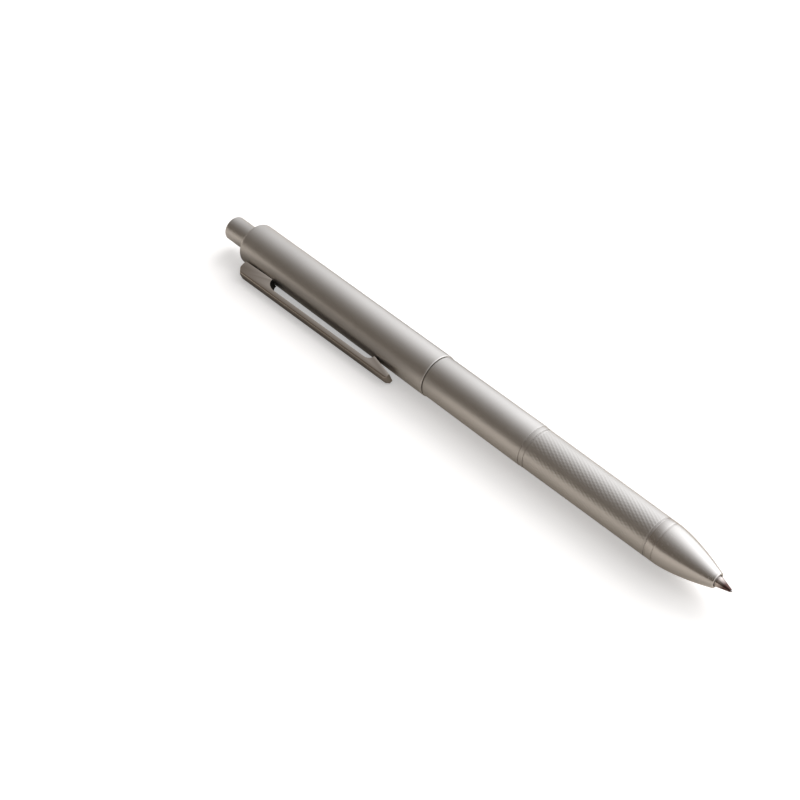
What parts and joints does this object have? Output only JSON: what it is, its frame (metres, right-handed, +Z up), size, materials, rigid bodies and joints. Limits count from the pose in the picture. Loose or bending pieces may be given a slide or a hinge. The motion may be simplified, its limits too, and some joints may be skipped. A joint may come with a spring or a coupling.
{
  "type": "multi pen",
  "caption": "Twist-action multi pen with a cross-cut grip, bullet nose, sprung pocket clip, push button and sliding writing inserts.",
  "frame": {"origin": "on the floor under the middle of the lying pen's box", "axes": "+X along the pen towards its writing tip, +Z up, the clip towards -Y"},
  "size_m": [0.1483, 0.013, 0.0102],
  "materials": {
    "satin_silver": "satin silver lacquer on a thin metal tube",
    "gloss_silver": "semi-gloss silver metal",
    "clip_chrome": "polished dark chrome",
    "spring_steel": "drawn steel wire",
    "insert_steel": "smooth metal tube",
    "tip_metal": "turned nickel silver",
    "brass": "plain brass",
    "core_plastic": "moulded plastic",
    "black_plastic": "moulded plastic",
    "red_plastic": "moulded plastic",
    "rubber": "soft rubber",
    "graphite": "graphite lead"
  },
  "bodies": {
    "mechanism": {"inner_sleeve": "core_plastic", "retaining_ring": "spring_steel", "friction_ring": "rubber", "black_spring": "spring_steel", "red_spring": "spring_steel", "pencil_carriage": "core_plastic", "pencil_spring": "spring_steel", "pencil_tube": "insert_steel", "pencil_tip": "tip_metal", "pencil_lead": "graphite"},
    "front_barrel": {"front_barrel": "satin_silver", "nose_cone": "gloss_silver"},
    "upper_barrel": {"upper_barrel": "satin_silver", "top_bush": "core_plastic", "clip_pin": "spring_steel", "clip_spring": "spring_steel", "cam_cylinder": "core_plastic", "button_spring": "spring_steel"},
    "button": {"push_button": "satin_silver", "knock_rod": "brass"},
    "clip": {"clip": "clip_chrome"},
    "black_carriage": {"black_carriage": "black_plastic"},
    "black_insert": {"black_tube": "insert_steel", "black_tip": "tip_metal", "black_ball": "spring_steel"},
    "red_carriage": {"red_carriage": "red_plastic"},
    "red_insert": {"red_tube": "insert_steel", "red_tip": "tip_metal", "red_ball": "spring_steel"}
  },
  "joints": [
    {"name": "front_barrel_off", "type": "slide", "parent": "mechanism", "child": "front_barrel", "axis": [1, 0, 0], "range_m": [0, 0.08]},
    {"name": "barrel_twist", "type": "hinge", "parent": "mechanism", "child": "upper_barrel", "pos_m": [-0.0051, 0.00142, 0.0051], "axis": [-1, 0, 0], "range_deg": [0, 120]},
    {"name": "button_press", "type": "slide", "parent": "upper_barrel", "child": "button", "axis": [1, 0, 0], "range_m": [0, 0.0035], "stiffness_N_per_m": 200, "springref_m": -0.0025, "deforming": ["button_spring"]},
    {"name": "clip_lift", "type": "hinge", "parent": "upper_barrel", "child": "clip", "pos_m": [-0.0562, -0.00166, 0.00344], "axis": [0, 0.4758, -0.8796], "range_deg": [0, 2.5], "stiffness_Nm_per_rad": 0.6, "springref_deg": -1.15, "deforming": ["clip_spring"]},
    {"name": "black_slide", "type": "slide", "parent": "mechanism", "child": "black_carriage", "axis": [1, 0, 0], "range_m": [-0.01, 0], "deforming": ["black_spring"]},
    {"name": "black_lean", "type": "hinge", "parent": "black_carriage", "child": "black_insert", "pos_m": [0.0082, 0.00017, 0.0074], "axis": [0, 0.8796, 0.4758], "range_deg": [-2.37, 0]},
    {"name": "red_slide", "type": "slide", "parent": "mechanism", "child": "red_carriage", "axis": [1, 0, 0], "range_m": [0, 0.01], "deforming": ["red_spring"]},
    {"name": "red_lean", "type": "hinge", "parent": "red_carriage", "child": "red_insert", "pos_m": [-0.0018, 0.00404, 0.00503], "axis": [0, -0.0277, -0.9996], "range_deg": [0, 2.37]}
  ],
  "couplings": [
    {"joint": "barrel_twist", "follows": "red_slide", "rad_per_m": 209.43},
    {"joint": "black_slide", "follows": "red_slide", "ratio": -1},
    {"joint": "black_lean", "follows": "red_slide", "rad_per_m": -4.123},
    {"joint": "red_lean", "follows": "red_slide", "rad_per_m": 4.123}
  ]
}
